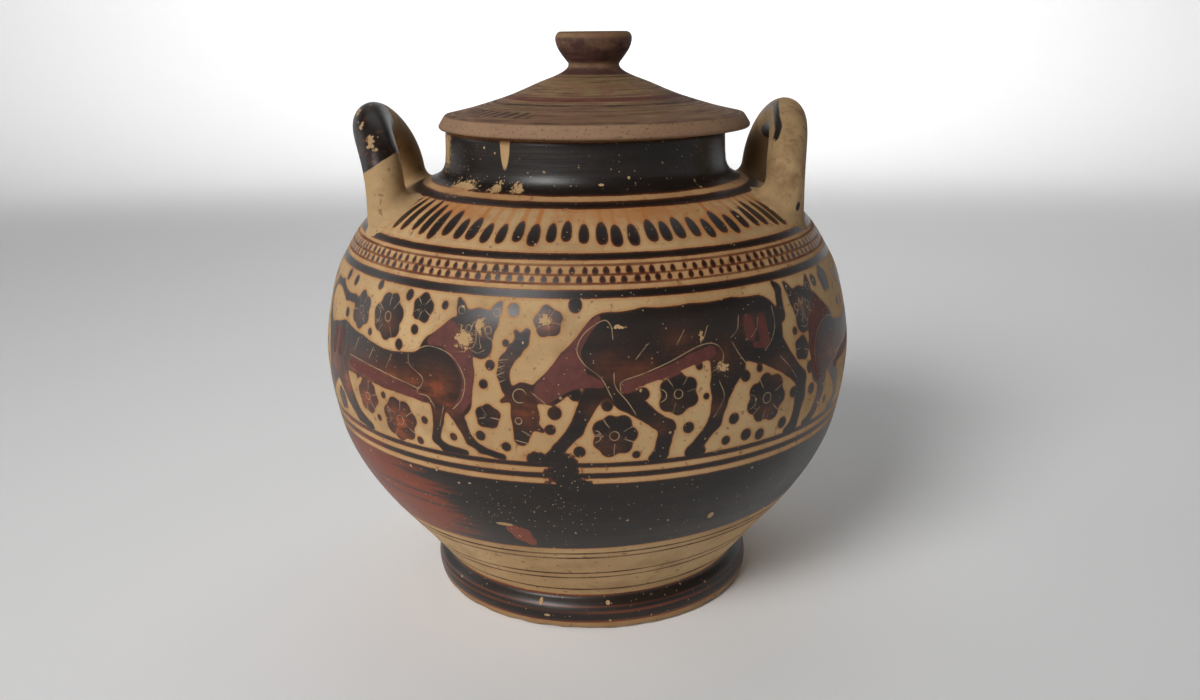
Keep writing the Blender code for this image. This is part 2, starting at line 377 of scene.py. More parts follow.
# Small chips all round the foot's lower edge, as in the photograph.
count = len(vessel.data.vertices)
points = np.empty(count * 3)
vessel.data.vertices.foreach_get("co", points)
points = points.reshape(-1, 3)
knocks = np.random.default_rng(7).uniform(0, 1, CHIPS_ROUND) ** 2
knocks = np.interp(turn, np.linspace(-np.pi, np.pi, CHIPS_ROUND), knocks) * CHIP_DEPTH
low_edge = np.clip(1 - points[:, 2] / (CHIP_HEIGHT * MM), 0, 1)
low_edge *= np.hypot(*points[:, :2].T) > (FOOT_RADIUS - 1) * MM
points[:, :2] *= 1 - (low_edge * knocks / FOOT_RADIUS)[:, None]
points[:, 2] = np.maximum(points[:, 2] + low_edge * knocks * CHIP_LIFT * MM, 0)
vessel.data.vertices.foreach_set("co", points.ravel())

# What is painted in the frieze, in millimetres: across, as the angle from the front times 100,
# and up from the plane the foot stands on. Strokes are rows of (across, up, radius of the
# brush), and cuts are rows of (across, up). What the photograph shows ends before BACK_FROM.
# Strokes closer than SLIP_MELT or RED_MELT flow together.
GIRTH = 200 * np.pi
FAR = 6.0
BACK_FROM = 122.0
BACK_GAP = 3.7
BACK_DOT_RADII = (1.2, 2.0)
SLIP_MELT = 1.2
RED_MELT = 0.8
REACH_BEYOND = 20


def ring(across, up, radius, count=10, start=0.0, turned=360.0):
    angles = np.radians(start + np.linspace(0, turned, count))
    return tuple((across + radius * np.cos(a), up + radius * np.sin(a)) for a in angles)


GOAT_BLACK = (
    ((8.5, 117.2, 10.6), (20, 119.3, 9.4), (36, 120.3, 8.4), (52, 119.8, 9.2), (62, 118, 10.8)),
    ((12, 107, 3), (24, 109.6, 2.2), (38, 114, 2.4)),
    ((7.5, 118.4, 9.4), (-3, 111.5, 6.1), (-11, 104.8, 4.6), (-15.5, 103.4, 3)),
    ((-19.5, 103, 4.0), (-18.8, 96, 4.4), (-20.3, 88.5, 2.5)),
    ((-24.6, 104.5, 1.8), (-26, 109.1, 1.9), (-25.2, 112.8, 2.2), (-22.3, 116.5, 2.2)),
    ((-22.3, 116.5, 2.2), (-20, 119.2, 2.1), (-18.6, 122, 1.3)),
    ((-20.8, 119.8, 1.2), (-22.2, 121.9, 0.9)),
    ((-22.5, 102.4, 1.5), (-26.2, 100.6, 0.7)),
    ((6, 108, 5), (1.5, 102, 3), (-3, 92, 2.4), (-8.5, 85.5, 2), (-10, 82.5, 2.6)),
    ((-10, 82.5, 2.6), (-13.5, 81, 1.6)),
    ((9, 106, 4.5), (12.6, 101.8, 3.8), (22.5, 93.8, 2.3), (25.8, 91.4, 2.8), (24.9, 86.5, 2.4)),
    ((24.9, 86.5, 2.4), (24, 82.5, 2.6), (21.5, 81, 1.6)),
    ((47.5, 109, 7), (45, 103, 4.4), (43.7, 97, 2.8), (42.2, 91, 2.5), (38, 85.8, 2)),
    ((38, 85.8, 2), (34.5, 82, 2.2)),
    ((38, 81.6, 1.8), (34.5, 81.4, 2.2)),
    ((67, 111, 6.2), (74, 104.4, 3.5), (80.2, 98.5, 3), (80, 92, 2.8), (78.6, 85, 2.2)),
    ((78.6, 85, 2.2), (77.8, 82, 2.6)),
    ((77.6, 82, 2.6), (74.2, 81, 1.5)),
    ((73, 121, 2.4), (73.6, 126, 1.5), (74.5, 129, 1.7), (73, 130.8, 1.1)),
    ((-15, 92.5, 1.4), (-13.4, 91.5, 0.8)),
)
GOAT_RED = (
    ((4.5, 126.2, 0.9), (0.4, 122.4, 1.4), (-3.3, 117.3, 1.9), (-5, 110.5, 5.3), (-12.5, 104, 3.6)),
    ((-6, 109, 4.5), (1, 107.5, 1.8), (5, 106.5, 1.2)),
    ((13, 105.4, 2), (24, 108.3, 2), (35, 112, 2), (41.5, 113.9, 1.8)),
    ((57.3, 121.8, 1.9), (57.6, 117, 2)),
    ((63, 121, 2), (63.6, 114, 2.2)),
    ((59, 113.6, 1), (61.5, 113.2, 1)),
)
GOAT_CUTS = (
    (
        (9, 120.5), (8.5, 124), (6, 125.6), (0, 122), (-2.5, 117), (0, 112.5), (5, 108.5),
        (8.5, 101.8),
    ),
    ((9, 109.5), (9.5, 105.5), (13, 101), (15.5, 97)),
    (
        (11, 104.5), (11.5, 107.2), (18, 109.2), (27, 112.2), (37, 116), (43, 116.2), (46, 113),
        (45, 109),
    ),
    ((45, 109), (41, 107.5)),
    ((53.5, 123), (52.5, 119.5), (50, 117.5)),
    ((61.5, 121.5), (60.5, 118.5), (58, 116.5)),
    ((69, 124), (69.2, 119), (67, 114.5), (63.5, 111.5)),
    ((50, 115.5), (52, 112), (54.5, 108.5)),
    ((20, 118), (16.5, 114.2)),
    ((32.5, 121), (30, 117.5)),
    ((41, 121.5), (39.5, 118.5)),
    ((44, 104), (45.5, 99), (42, 93)),
    ((70, 108), (74.5, 103.5), (77.5, 99.5)),
    ((-16.2, 103.5), (-12, 99.8), (-14, 97)),
    ((-19.6, 91), (-17.5, 89.8)),
    ((-22, 87.8), (-18.4, 87)),
    ring(-21, 94.5, 1.1),
    ring(-20.5, 102.6, 2.2, 10, 30, 260),
    ((-27.8, 106.2), (-25.6, 107.2)),
    ((-28.2, 108.5), (-26, 109.5)),
    ((-28, 110.8), (-25.8, 111.6)),
    ((-27.4, 113.2), (-25, 113.6)),
)
# Where the slip went on thin and fired brown: across, up, radius and how strongly.
GOAT_BROWN = (
    (10, 111, 8, 0.5), (17, 110, 6, 0.55), (32, 117, 7, 0.4), (46, 112, 6, 0.4),
    (24, 92, 4, 0.4), (-19, 98, 9, 0.6), (3, 99, 4, 0.35), (42, 96, 4, 0.4), (70, 104, 6, 0.4),
    (-25, 112, 6, 0.3), (58, 120, 5, 0.3),
)

PANTHER_BLACK = (
    ((-35.5, 121.5, 6.8), (-34, 117, 4)),
    ((-40.5, 124.5, 3.2), (-42.6, 128, 1.6), (-43.8, 130, 0.8)),
    ((-31, 125, 3), (-29.3, 128.2, 1.5), (-28.4, 130, 0.8)),
    ((-50, 112, 7.5), (-43, 117, 6), (-42, 108, 6), (-41.5, 99, 5)),
    ((-52, 116.5, 2), (-44, 122, 3)),
    ((-46, 107, 9.5), (-54, 105.5, 8.5)),
    ((-54, 105, 8), (-72, 104.5, 6.3), (-88, 106, 7), (-102, 107, 8), (-112, 104, 9)),
    ((-103, 98, 6), (-97, 90, 3.8), (-91.5, 84, 2.6), (-84, 81.5, 1.9)),
    ((-112, 98, 6.4), (-120, 90, 3.8), (-126, 84.5, 2.8), (-123, 81.6, 1.9), (-119, 81.3, 1.5)),
    ((-118, 108, 3), (-125, 113, 1.8), (-128, 120, 1.5), (-123, 125.5, 1.4), (-114, 126, 1.4)),
    ((-114, 126, 1.4), (-105, 123, 1.4), (-97, 123.5, 1.5)),
)
LEFT_FORELEGS = (
    ((-48.6, 98, 3.6), (-49.3, 91.4, 1.9), (-51, 84.5, 1.6), (-47.6, 81.8, 1.6), (-40, 81.4, 1.1)),
    ((-43.5, 97, 3.2), (-40.6, 91.6, 1.8), (-38, 86, 1.5), (-34, 83.3, 1.3), (-27, 81.4, 1.3)),
)
RIGHT_FORELEGS = (
    ((-44, 97, 3.8), (-43.5, 90, 2.4), (-40.5, 84.5, 2), (-38, 82, 1.8), (-34, 81.2, 1.2)),
    ((-53, 98, 4), (-58, 91, 2.4), (-60, 85, 2), (-57, 81.6, 1.8), (-53, 81.2, 1.2)),
)
PANTHER_RED = (
    ((-53, 116.6, 1.3), (-46.5, 119.5, 4.3), (-40.5, 114, 3.6), (-38, 107, 2), (-38.2, 101, 2)),
    ((-38.2, 101, 2), (-41, 97, 2)),
    ((-93, 102.5, 1.8), (-80, 101.5, 2), (-65, 99.5, 2), (-56, 97.5, 1.6)),
    ((-104.5, 111, 2), (-105.5, 104, 2.1)),
    ((-111, 110, 2), (-112, 103.5, 2.1)),
)
PANTHER_CUTS = (
    (
        (-59, 113), (-54, 115), (-48, 114.5), (-43.5, 112.5), (-40.5, 109), (-39, 105),
        (-40, 100), (-43, 96.5),
    ),
    ((-62, 111), (-61, 108), (-55.5, 105), (-55.5, 102.5), (-57.5, 99.5), (-53, 99), (-50.5, 96)),
    ((-95, 105), (-82, 104.3), (-66, 102.5), (-57, 101)),
    ((-101, 114), (-99, 108), (-101.5, 101), (-98, 96)),
    ((-108, 113), (-108, 106), (-110, 101)),
    ((-70, 109.5), (-72, 105.5)),
    ((-80, 110), (-82, 106.5)),
    ((-90, 111.5), (-92, 107.5)),
    ((-47, 96), (-48.8, 90)),
    ((-41, 119), (-38.5, 120.5), (-37, 124.2)),
    ((-30, 119), (-32.4, 120.5), (-33.8, 124.2)),
    ((-36.2, 124), (-35.9, 119), (-36.6, 116.6)),
    ((-34.4, 124), (-34.6, 119), (-33.9, 116.6)),
    ((-36.8, 115.4), (-35, 114.8), (-33.2, 115.6)),
    ring(-38.8, 122, 1.1, 8),
    ring(-31.7, 122, 1.1, 8),
    ring(-42.2, 127.2, 1.2, 7, 0, 300),
    ring(-29.4, 127.2, 1.2, 7, 180, 300),
)
PANTHER_BROWN = (
    (-50, 102, 9, 0.7), (-47, 97, 7, 0.7), (-60, 101, 8, 0.7), (-70, 101, 8, 0.75),
    (-82, 101, 8, 0.8), (-93, 101, 8, 0.7), (-98, 94, 7, 0.8), (-110, 99, 9, 0.75),
    (-120, 90, 7, 0.7), (-41, 118.5, 4, 0.9), (-34, 122, 3, 0.8), (-42, 88, 5, 0.5),
)
# Each rosette is across, up, radius and petals. Each dot is across, up and radius.
ROSETTES = (
    (-74, 121.5, 8, 7), (-91, 121, 6.6, 6), (-58, 126.3, 4.8, 5), (-83, 93, 6.4, 6),
    (-66.2, 88.3, 8.2, 7), (-31, 95, 4.6, 5), (-11.9, 125.2, 5.1, 5), (9, 89.8, 7.7, 7),
    (29.5, 102, 7.3, 6), (63, 95.5, 9, 7), (82, 108.5, 4.6, 5), (108, 127, 5, 5),
    (-106, 86, 4.5, 5),
)
ROSETTE_BROWN = (
    (7, 86.5, 5, 0.5), (-66.2, 87, 9, 1), (-83, 91, 7, 0.95), (-74, 119, 5, 0.5),
    (-12.5, 125, 4, 0.9), (63, 91, 5, 0.4), (29, 99, 4, 0.25), (-91, 118, 4, 0.4),
)
DOTS = (
    (-110, 129.5, 2), (-101, 129, 1.8), (-82.5, 130.3, 1.6), (-65.5, 129.3, 1.8), (-49, 128, 1.4),
    (-102, 118, 1.8), (-60.3, 119.3, 1.7), (-66.7, 113.7, 1.9), (-83, 115, 1.3), (-89, 99, 1.2),
    (-73.7, 95.5, 1.3), (-77.5, 86.5, 1.3), (-55, 90.5, 1.4), (-58, 82.6, 1.5), (-44, 86.5, 1.4),
    (-23.5, 128.3, 2), (-25.5, 118.5, 1.2), (-30.5, 111.5, 1.7), (-32.5, 105.5, 1.6),
    (-34, 88.3, 1.8), (-25.5, 85.3, 1.7), (-3, 130, 2.3), (-3, 103.5, 2.2), (6.8, 99.8, 1.9),
    (-11, 92, 1.9), (-2, 84.5, 2), (16, 82.9, 1.4), (18, 103, 2.2), (37, 110, 1.3),
    (39, 100.2, 1.2), (33, 90.5, 2), (54, 104.5, 2), (60, 106, 1.4), (49.5, 91, 2),
    (47, 83.8, 1.7), (55, 84.3, 2.2), (61, 83.1, 2.1), (71.5, 84.8, 2.1), (76, 94.7, 2),
    (79, 114.7, 1.5), (87, 93.2, 2.1), (86, 101.2, 2.3), (98.5, 128, 2), (118, 117, 1.6),
    (99, 86, 1.5), (-9.5, 97.5, 2.3),
)
BACK_ROSETTES = (
    (186, 122.5, 4.5, 6), (159, 87.5, 4.8, 7), (133, 122.5, 5.5, 6), (186.5, 97, 4.2, 5),
    (228, 90.5, 6.5, 6), (249, 101, 6, 6), (282, 95, 7.5, 7), (302, 117, 6, 6),
    (267.5, 85, 3, 5), (322, 94, 7, 6),
    (331, 122, 6.5, 6), (362, 94, 6, 6), (346, 116, 4.5, 5), (404, 91, 7, 7), (424, 101, 6, 6),
    (457, 95.5, 7, 7), (384, 124, 4.5, 5), (479, 121, 5, 5), (487, 90, 5, 6),
)


def nearness(x, y, a, b):
    """How far every point is from the line from a to b, and how far along the line, from 0 to
    1, its nearest point lies."""
    dx, dy = b[0] - a[0], b[1] - a[1]
    t = np.clip(((x - a[0]) * dx + (y - a[1]) * dy) / (dx * dx + dy * dy), 0, 1)
    return np.hypot(x - a[0] - t * dx, y - a[1] - t * dy), t


def brushed(x, y, chains, melt):
    """Signed distance to brush strokes: for each stretch of a chain, the distance to its
    middle line less the radius there. Where two strokes come within melt of each other, the
    smaller distance is lowered a little, so that they flow together."""
    nearest = np.full(x.shape, FAR)
    for chain in chains:
        for a, b in zip(chain, chain[1:]):
            gap, t = nearness(x, y, a, b)
            gap = gap - a[2] - t * (b[2] - a[2])
            close = np.maximum(melt - np.abs(nearest - gap), 0)
            nearest = np.minimum(nearest, gap) - close**2 / (4 * melt)
    return nearest


def incised(x, y, lines):
    """The distance to the nearest cut line, and the same with a sign for the side of it that
    a point lies on, which passes through zero exactly on the line."""
    nearest = np.full(x.shape, FAR)
    side = np.full(x.shape, FAR)
    for line in lines:
        curve = smooth_curve(line, 5) if len(line) > 2 else line
        for a, b in zip(curve, curve[1:]):
            gap, _ = nearness(x, y, a, b)
            left = (b[0] - a[0]) * (y - a[1]) > (b[1] - a[1]) * (x - a[0])
            side = np.where(gap < nearest, np.where(left, gap, -gap), side)
            nearest = np.minimum(nearest, gap)
    return nearest, side


def rosette(up, radius, petals, hand):
    """Strokes from the middle into each petal, and the cuts between most of the petals and
    round the middle, with the small unevenness of the hand. It is centred at 0 across."""
    angles = (np.arange(petals) + hand.uniform(-0.13, 0.13, petals)) * 2 * np.pi / petals
    angles += hand.uniform(0, 2 * np.pi)
    tips = radius * hand.uniform(0.31, 0.39, petals)
    strokes = [
        ((0, up, 0.7 * radius), (0.62 * radius * np.cos(a), up + 0.62 * radius * np.sin(a), tip))
        for a, tip in zip(angles, tips)
    ]
    inner, outer = (0.5, 0.84) if radius > 5.5 else (0.3, 0.8)
    between = angles + np.pi / petals + hand.uniform(-0.16, 0.16, petals)
    cuts = [
        tuple((q * radius * np.cos(a), up + q * radius * np.sin(a)) for q in (inner, outer))
        for a in between[hand.uniform(0, 1, petals) < 0.8]
    ]
    cuts += [ring(0, up, 0.2 * radius, 9)] * (radius > 5.5)
    return strokes, cuts + [ring(-0.8 * radius, up, 0.26 * radius, 7, -75, 150)] * (radius > 7.1)


class Frieze:
    """What is painted at each point of the frieze, in millimetres: slip and red are signed
    distances to the black and to the red over it, cut and side are the distances to the cut
    lines, and thin is 1 where the slip was thinned and fired brown."""

    def __init__(self, across, up):
        self.across = across
        self.up = up
        self.slip, self.red, self.cut, self.side = np.full((4, len(up)), FAR)
        self.thin = np.zeros(len(up))

    def beside(self, origin):
        """How far across every point is from origin, the shorter way round."""
        return (self.across - origin + GIRTH / 2) % GIRTH - GIRTH / 2

    def lay(self, origin, way, black, reds, cuts, brown):
        """Paints a motif with its own zero at origin, running to the right or, with way -1,
        to the left. Only the points that it can reach are worked out."""
        x = way * self.beside(origin)
        reach = np.concatenate([[point[0] for point in chain] for chain in black])
        here = (x > reach.min() - REACH_BEYOND) & (x < reach.max() + REACH_BEYOND)
        x, y = x[here], self.up[here]
        self.slip[here] = np.minimum(self.slip[here], brushed(x, y, black, SLIP_MELT))
        self.red[here] = np.minimum(self.red[here], brushed(x, y, reds, RED_MELT))
        cut, side = incised(x, y, cuts)
        self.side[here] = np.where(cut < self.cut[here], side, self.side[here])
        self.cut[here] = np.minimum(self.cut[here], cut)
        for across, up, radius, strength in brown:
            cloud = np.exp(-((x - across) ** 2 + 1.6 * (y - up) ** 2) / radius**2)
            self.thin[here] = np.maximum(self.thin[here], cloud * strength)

    def dot(self, across, up, radius):
        gap = np.hypot(self.beside(across), self.up - up) - radius
        self.slip = np.minimum(self.slip, gap)

    def fill(self, spacing, smallest, largest, hand):
        """Puts a dot at the point of the back that is furthest from all paint, again and
        again, until no gap of this size is left there."""
        edge = np.minimum(self.up - FRIEZE_FOOT, FRIEZE_TOP - self.up)
        edge = np.where(abs(self.across) > BACK_FROM, edge, 0)
        while True:
            room = np.minimum(self.slip, edge)
            widest = int(room.argmax())
            if room[widest] < spacing:
                return
            radius = hand.uniform(smallest, largest)
            self.dot(self.across[widest], self.up[widest], radius)


count = len(fine_angles)
first = sum(len(ring_angles) for ring_angles in rings[:start])
in_frieze = slice(first, first + count * FRIEZE_ROWS)
paint = Frieze(turn[in_frieze] * 100, np.repeat(frieze_heights, count))
goat = (GOAT_BLACK, GOAT_RED, GOAT_CUTS, GOAT_BROWN)
left_panther = (PANTHER_BLACK + LEFT_FORELEGS, PANTHER_RED, PANTHER_CUTS, PANTHER_BROWN)
right_panther = (PANTHER_BLACK + RIGHT_FORELEGS, PANTHER_RED, PANTHER_CUTS, PANTHER_BROWN)
paint.lay(0, 1, *goat)
paint.lay(0, 1, *left_panther)
paint.lay(50.5, -1, *right_panther)
paint.lay(219, 1, *goat)
paint.lay(395, 1, *goat)
hand = np.random.default_rng(4)
for across, up, radius, petals in ROSETTES + BACK_ROSETTES:
    strokes, cuts = rosette(up, radius, petals, hand)
    worn = [(u - across, *rest) for u, *rest in ROSETTE_BROWN if abs(u - across) < radius]
    paint.lay(across, 1, strokes, (), cuts, worn)
for dot in DOTS:
    paint.dot(*dot)
paint.fill(BACK_GAP, *BACK_DOT_RADII, hand)
for name in ("slip", "red", "cut", "side", "thin"):
    everywhere = np.full(len(turn), 0.0 if name == "thin" else FAR)
    everywhere[in_frieze] = getattr(paint, name)
    layer = vessel.data.attributes.new(name, "FLOAT", "POINT")
    layer.data.foreach_set("value", everywhere)

# The marks outside the frieze: bands as (lower edge, upper edge), in millimetres up.
BLACK_BANDS = (
    (3.3, 12.9), (43.4, 72.9), (74.8, 76.9), (78.8, 80.6), (131.7, 134.2), (142.2, 144.2),
    (155.2, 157.0), (158.2, 175.2),
)
BROWN_LINES = (
    (16.2, 17.0), (24.3, 25.0), (27.2, 27.9), (37.2, 38.0), (39.9, 40.7), (135.5, 136.2),
    (138.0, 138.65), (140.65, 141.35),
)
TONGUES = 91
TONGUE_UP = 149.2
TONGUE_HALF_HEIGHT = 2.9
TONGUE_HALF_WIDTH = 2.5
TONGUES_END = 105.0
DOTS_ROUND = 153
DOT_ROWS = ((137.1, 0.0), (139.5, 0.5))
# Marks of wear and of the kiln, each across, up, half the width and half the height.
BLACK_SMEARS = ((-7, 77, 5.5, 7), (-3, 72, 7, 3), (-16, 82, 5, 2.4))
BARE_MARKS = (
    (48, 53.5, 1.3, 1.3), (-31, 53.8, 3.4, 0.7), (-53.8, 177.8, 4, 12), (-29.4, 10.1, 1.1, 1.1),
    (11, 10.4, 1.3, 0.6), (-25, 5.6, 1.8, 0.5), (28.5, 163.4, 1, 0.5), (10.5, 161.4, 1.8, 0.4),
)
CHIPPED_MARKS = (
    (-128, 171, 13, 9), (-84, 159, 13, 2.2), (-57, 159.6, 5, 2.6), (-42, 160, 4.6, 1.7),
    (5, 77.8, 6.5, 0.6), (4, 74.2, 4.5, 0.6), (-40.3, 118.5, 3.4, 3.6), (-12.8, 125.5, 2.2, 2.2),
    (11, 123.6, 2.6, 0.8), (38.5, 118.6, 0.8, 1.8), (45.5, 108.6, 2.2, 1.8), (-35, 123.4, 1.8, 2.6),
)
FLECKED = (
    (-45, 56, 17, 3), (-72, 161, 30, 3.5), (-20, 62, 30, 6), (-100, 168, 26, 7), (4, 75, 14, 4),
)
REDDENED = ((-25.5, 49.5, 4, 3.6), (-28, 51.5, 3, 2.4), (-22.5, 46.5, 2.4, 2.4))
ORANGE_CLOUDS = ((22, 153.6, 44, 2.6), (60, 150, 20, 4), (-70, 153.5, 30, 2))
BRUSH_JOINS = ((56.7, 57.2), (60.8, 61.5))
WORN_RIDGES = ((3.2, 4.1), (6.9, 7.7), (9.1, 9.5), (12.1, 12.9))
BUFF = colour_of(174, 141, 98)
PALE_BUFF = colour_of(190, 158, 114)
DUSKY_BUFF = colour_of(150, 118, 80)
BROWN_BUFF = colour_of(112, 78, 50)
# The handles' darker patches: grime, and on the right handle painted shade as well.
GRIME_AND_SHADE_BUFF = colour_of(128, 104, 70)
BLACK_SLIP = colour_of(22, 16, 12)
GREYED_SLIP = colour_of(42, 32, 26)
BROWN_SLIP = colour_of(104, 52, 26)
LINE_BROWN = colour_of(74, 40, 24)
ORANGE_WASH = colour_of(174, 104, 44)
THIN_RED = colour_of(140, 66, 34)
FIRED_RED = colour_of(122, 54, 28)
MATT_RED = colour_of(96, 50, 44)
CUT_CLAY = colour_of(176, 146, 108)
DUST = colour_of(158, 144, 122)


def to_bands(up, bands):
    """Signed distance to the nearest of some level bands, each (lower edge, upper edge)."""
    nearest = FAR
    for low, high in bands:
        gap = abs(up - (low + high) / 2) - (high - low) / 2
        nearest = gap.least(nearest)
    return nearest


def bare_clay(place):
    """The colour of bare clay, with cloudy patches and small dark grits, and its height in
    millimetres, with faint rings from the wheel."""
    cloud = place.noise(38, 3, 0.55).step(0.3, 0.7)
    wheel = place.drawn_round(0.07).noise(1.7, 3, 0.6)
    grain = place.noise(0.9, 2, 0.7)
    colour = cloud.between(BUFF, PALE_BUFF)
    colour = (place.noise(17, 4, 0.6).step(0.45, 0.7) * 0.6).between(colour, DUSKY_BUFF)
    colour = (wheel.step(0.55, 0.8) * 0.2).between(colour, BROWN_BUFF)
    pits = grain.step(0.6, 0.72) * 0.45
    grits = place.noise(2.6, 1, 0.5).step(0.66, 0.74) * 0.6
    colour = pits.most(grits).between(colour, BROWN_BUFF)
    return colour, wheel * 0.05 + grain * 0.03


def outside(across, up, marks):
    """How far a point lies outside the nearest of some ellipses, as a share of its size."""
    nearest = FAR
    for middle, height, wide, tall in marks:
        x = (across - middle) / wide
        y = (up - height) / tall
        nearest = x.maths("SQRT", x * x + y * y).least(nearest)
    return nearest - 1


def chips(place, size, share):
    """A mask of small lost flecks: spots at the middles of the cells of a Voronoi pattern,
    in the given share of the cells, which may be a number or a Tint."""
    inputs = {"Vector": place, "Scale": 1000 / size}
    spread = place.node("ShaderNodeTexVoronoi", None, inputs)
    chance = spread.node("ShaderNodeSeparateColor", None, {0: spread.sibling(1)})
    ragged = spread + (place.noise(size / 2.5, 2) - 0.5) * 0.5
    return ragged.step(0.3, 0.2) * (chance - 1 + share).step(-0.01, 0.01)


material, shader, place = plain_material("vessel_clay", 0.6)
x, y, z = place.parts()
angle = x.maths("ARCTAN2", x, 0 - y)
across = angle * 100
level = z * 1000
tilted = level.step(70, 42).least(level.step(14, 26))
up = level - angle.maths("SINE", angle) * 3 * tilted
wobble = (place.noise(12, 1) - 0.5) * 0.7 + (place.noise(1.5, 2) - 0.5) * 0.5

pitch = GIRTH / TONGUES
cell = across.maths("FLOOR", across / pitch + 0.5)
offset = across - cell * pitch
sway, size, lift = cell.maths("FLOORED_MODULO", cell, TONGUES).chances()
longer = across.step(-50, -85) + across.step(75, 95) * 0.5
rise = level - TONGUE_UP - longer * 1.5 + (lift - 0.5) * 1.4
rise = rise / (TONGUE_HALF_HEIGHT * 0.85 + size * 0.7 + longer * 1.7)
swell = TONGUE_HALF_WIDTH * (0.86 + 0.28 * size) * (1 - 0.12 * rise)
aside = (offset + (sway - 0.5) * 1.3 + longer * rise * 0.7) / swell
squared = rise * rise
tongue = aside * aside + squared * 0.6 + squared * squared * 0.4
tongue = (tongue.maths("SQRT", tongue) - 1) * 1.8
limit = abs(across).least(GIRTH / 2 - abs(across)) - TONGUES_END
drip = abs(offset + (sway - 0.5) * 1.8 + (place.noise(3, 1) - 0.5) * 1.2).step(1.9, 0.7)
drip = drip * level.step(149.5, 152.5) * level.step(155.6, 155.0) * limit.step(0, -2)
washed = outside(across, level, ORANGE_CLOUDS) + (place.noise(4, 3) - 0.5) * 2
drip = drip * (0.35 + 0.6 * size)
drip = drip.most(washed.step(0.3, -0.7) * level.step(155.6, 155.0) * 0.6)
spots = tongue.most(limit)
for row, shift in DOT_ROWS:
    turned = across * (DOTS_ROUND / GIRTH) + shift
    sway, size, lift = (turned.maths("FLOOR", turned) + shift * 7).chances()
    aside = (turned.maths("FRACT", turned) - 0.5) * (GIRTH / DOTS_ROUND) + (sway - 0.5) * 0.8
    rise = (level - row + (lift - 0.5) * 0.4) / (1.05 + size * 0.3)
    aside = aside / ((0.95 + size * 0.35) * (1 - 0.22 * rise))
    dot = aside * aside + rise * rise
    spots = spots.least((dot.maths("SQRT", dot) - 1) * 0.8)

figures = place.painted("slip")
outer = place.painted("outer")
ragged = (place.noise(3, 3, 0.6) - 0.5) * 1.6
smeared = (outside(across, up, BLACK_SMEARS) + ragged) * 2
gap = to_bands(up, BLACK_BANDS).least(spots).least(figures).least(smeared) + wobble * 0.5
grainy = (place.noise(1.3, 4, 0.75) - 0.5) * 4.2
bared = outside(across, level, BARE_MARKS) + ragged * 0.1
bared = bared.least(outside(across, level, CHIPPED_MARKS) + grainy + 0.25)
slip = gap.step(0.13, -0.13) * bared.step(-0.06, 0.06) * outer
lines = (to_bands(up, BROWN_LINES) + wobble * 0.45).step(0.25, -0.2) * outer
lines = lines * (0.7 + 0.3 * place.drawn_round(0.2).noise(4, 2).step(0.35, 0.6))

streaks = place.drawn_round(0.05).noise(1.8, 4, 0.65)
heat = outside(across, level, ((-92, 55, 42, 34),))
heat = heat + (streaks - 0.5) * 1.6 + (place.noise(16, 2) - 0.5) * 0.4 + level.step(63, 71) * 0.25
heat = heat.step(0.12, -0.22) * (1 - 0.75 * to_bands(level, BRUSH_JOINS).step(0.5, -0.1))
reddened = outside(across, level, REDDENED) + ragged * 0.3
blotch = place.noise(6, 4, 0.6) * 0.6 + streaks * 0.4
thinned = place.painted("thin") * (0.35 + 0.85 * blotch.step(0.38, 0.58))
edge = gap.step(-0.7, -0.1) * 0.5
smoked = place.drawn_round(0.1).noise(5, 3).step(0.35, 0.75)
tone = (smoked * 0.6).between(BLACK_SLIP, GREYED_SLIP)
ridges = to_bands(level, WORN_RIDGES).step(0.35, -0.2)
ridges = ridges * place.drawn_round(0.1).noise(6, 3).step(0.3, 0.6)
tone = thinned.most(edge).most(ridges * 0.9).between(tone, BROWN_SLIP)
tone = (thinned.step(0.55, 1) * 0.75).between(tone, THIN_RED)
heat = heat * (0.6 + 0.4 * streaks.step(0.3, 0.55))
tone = heat.most(reddened.step(0.1, -0.1) * 0.9).between(tone, FIRED_RED)

clay, clay_height = bare_clay(place)
clay = (gap.step(1.1, 0.1) * gap.step(-1, -0.2) * 0.4).between(clay, ORANGE_WASH)
clay = drip.between(clay, ORANGE_WASH)
# Painted shade: the bare clay of the foot's lowest edge, which curves under towards the floor, is
# darkened brown.
clay = (level.step(4.2, 2.6) * 0.5).between(clay, BROWN_BUFF)
clay = lines.between(clay, level.step(100, 120).between(LINE_BROWN, BROWN_SLIP))
red = (place.painted("red") + wobble * 0.5).step(0.13, -0.13) * slip
cut = abs(place.painted("side")).step(0.24, 0.08) * place.painted("cut").step(0.95, 0.6) * slip
cut = cut * (0.3 + 0.7 * place.noise(5, 2).step(0.35, 0.6))
flecks = outside(across, level, FLECKED).step(0.5, -0.5)
lost = chips(place, 1.9, 0.013 + level.step(159, 163) * 0.015)
lost = lost.most(chips(place, 0.9, 0.045 + flecks * 0.13) * 0.7) * slip
dusty = place.noise(0.8, 3, 0.7).step(0.56, 0.72) * place.noise(13, 3).step(0.3, 0.65) * slip
colour = slip.between(clay, tone)
colour = (red * (0.75 + 0.25 * place.noise(3, 3).step(0.4, 0.6))).between(colour, MATT_RED)
colour = (cut * 0.7).between(colour, CUT_CLAY)
colour = (dusty * 0.1).between(colour, DUST)
colour = (lost * 0.85).between(colour, PALE_BUFF)
wire(colour, shader.inputs["Base Color"])
gloss = 0.78 - slip * 0.36 + red * 0.2 + (place.noise(6, 3) - 0.5) * 0.14 + cut * 0.2 + dusty * 0.1
wire(gloss, shader.inputs["Roughness"])
shader.inputs["Coat Roughness"].default_value = 0.3
wire(slip * (1 - red) * (1 - heat) * 0.19, shader.inputs["Coat Weight"])
combed = place.drawn_round(0.03).noise(1.1, 2) * level.step(160, 163) * 0.12
relief = clay_height + slip * 0.03 - cut * 0.08 - lost * 0.05 + combed + streaks * 0.04
wire(relief.bumped(), shader.inputs["Normal"])

